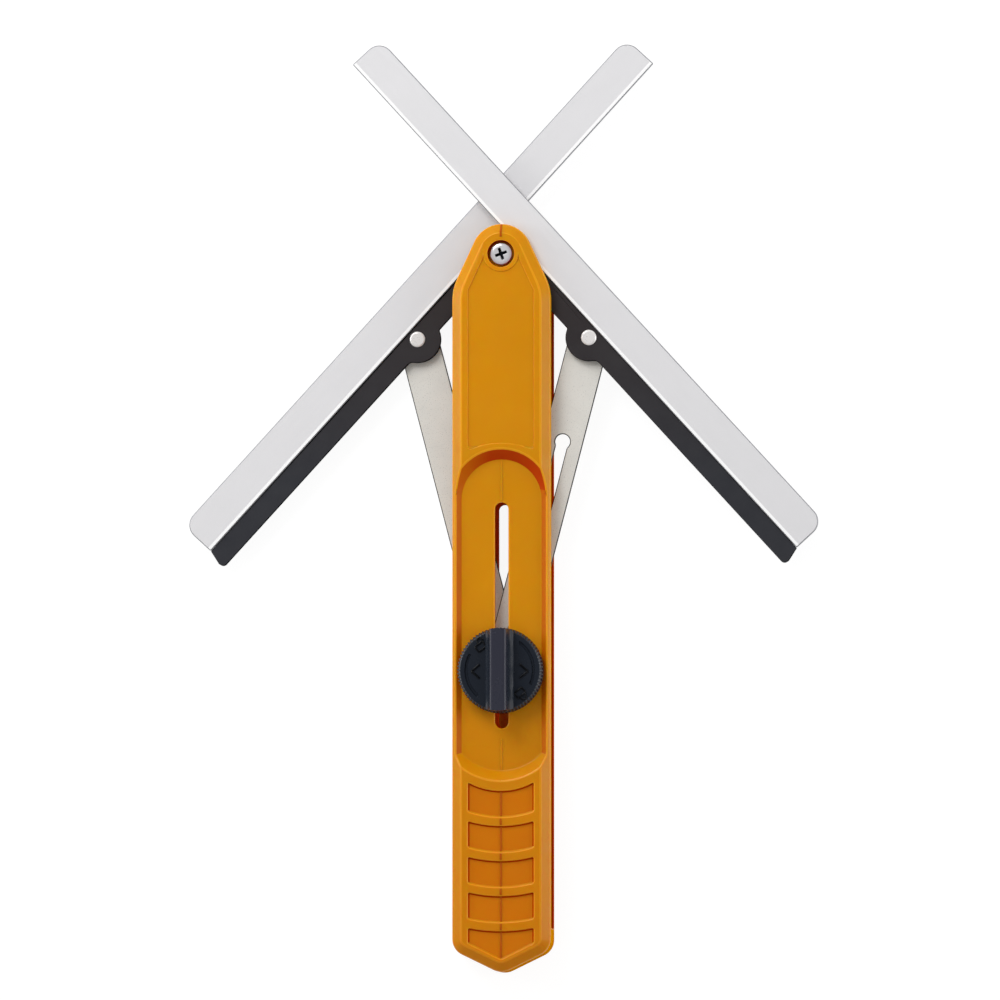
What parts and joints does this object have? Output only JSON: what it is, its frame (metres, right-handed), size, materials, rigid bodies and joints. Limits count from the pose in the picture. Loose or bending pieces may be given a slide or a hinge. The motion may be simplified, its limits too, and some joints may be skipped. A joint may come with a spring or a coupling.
{
  "type": "angle finder with arms",
  "caption": "Bisecting angle finder: an open two-shell handle with two folding arms, linked bars, sliding blades and a clamp knob in a slot.",
  "frame": {"origin": "on the axis of the pivot screw that both arms turn about, in the plane of the handle's flat back face", "axes": "+Y along the handle from the clamp towards the nose, +Z out of the back face towards the knob, +X to the right seen from the knob's side"},
  "size_m": [0.237, 0.3475, 0.0307],
  "materials": {
    "orange_plastic": "fine matte moulded",
    "black_plastic": "fine matte moulded",
    "knob_plastic": "satin moulded",
    "blade_aluminium": "fine brushed satin",
    "link_steel": "rolled, zinc plated",
    "rivet_steel": "satin",
    "screw_steel": "bright zinc plated",
    "washer_plastic": "plain",
    "sleeve_brass": "turned",
    "nut_steel": "zinc plated"
  },
  "bodies": {
    "handle": {"front_shell": "orange_plastic", "back_shell": "orange_plastic", "pivot_screw": "screw_steel", "pivot_nut": "nut_steel", "pivot_sleeve": "sleeve_brass", "pivot_washer": "washer_plastic", "end_screws": "screw_steel"},
    "arm_left": {"carrier_left": "black_plastic", "rivet_left": "rivet_steel"},
    "arm_right": {"carrier_right": "black_plastic", "rivet_right": "rivet_steel"},
    "blade_left_slider": {"blade_left": "blade_aluminium", "blade_stop_pin_left": "nut_steel"},
    "blade_right_slider": {"blade_right": "blade_aluminium", "blade_stop_pin_right": "nut_steel"},
    "link_left_bar": {"link_left": "link_steel"},
    "link_right_bar": {"link_right": "link_steel"},
    "clamp": {"clamp_slider": "orange_plastic", "clamp_spacer_rear": "washer_plastic", "clamp_spacer_front": "washer_plastic", "clamp_washer": "screw_steel"},
    "clamp_knob": {"knob": "knob_plastic", "clamp_stud": "screw_steel"}
  },
  "joints": [
    {"name": "arm_left_fold", "type": "hinge", "parent": "handle", "child": "arm_left", "pos_m": [0, 0, 0.0068], "axis": [0, 0, -1], "range_deg": [-42.5, 82.5]},
    {"name": "arm_right_fold", "type": "hinge", "parent": "handle", "child": "arm_right", "pos_m": [0, 0, 0.0116], "axis": [0, 0, 1], "range_deg": [-42.5, 82.5]},
    {"name": "blade_left_slide", "type": "slide", "parent": "arm_left", "child": "blade_left_slider", "axis": [-0.6756, -0.7373, 0], "range_m": [0, 0.09]},
    {"name": "blade_right_slide", "type": "slide", "parent": "arm_right", "child": "blade_right_slider", "axis": [0.6756, -0.7373, 0], "range_m": [0, 0.09]},
    {"name": "link_left_swing", "type": "hinge", "parent": "arm_left", "child": "link_left_bar", "pos_m": [-0.03247, -0.03129, 0.0046], "axis": [0, 0, 1], "range_deg": [-56, 93]},
    {"name": "link_right_swing", "type": "hinge", "parent": "arm_right", "child": "link_right_bar", "pos_m": [0.03247, -0.03129, 0.0094], "axis": [0, 0, -1], "range_deg": [-56, 93]},
    {"name": "clamp_slide", "type": "slide", "parent": "handle", "child": "clamp", "axis": [0, 1, 0], "range_m": [-0.0185, 0.0603]},
    {"name": "knob_turn", "type": "hinge", "parent": "clamp", "child": "clamp_knob", "pos_m": [0, -0.15613, 0.0196], "axis": [0, 0, 1], "range_deg": [0, 270]}
  ],
  "couplings": [
    {"joint": "arm_right_fold", "follows": "arm_left_fold", "ratio": 1},
    {"joint": "link_left_swing", "follows": "arm_left_fold", "ratio": 1.12},
    {"joint": "link_right_swing", "follows": "arm_left_fold", "ratio": 1.12},
    {"joint": "clamp_slide", "follows": "arm_left_fold", "m_per_rad": 0.02386}
  ]
}
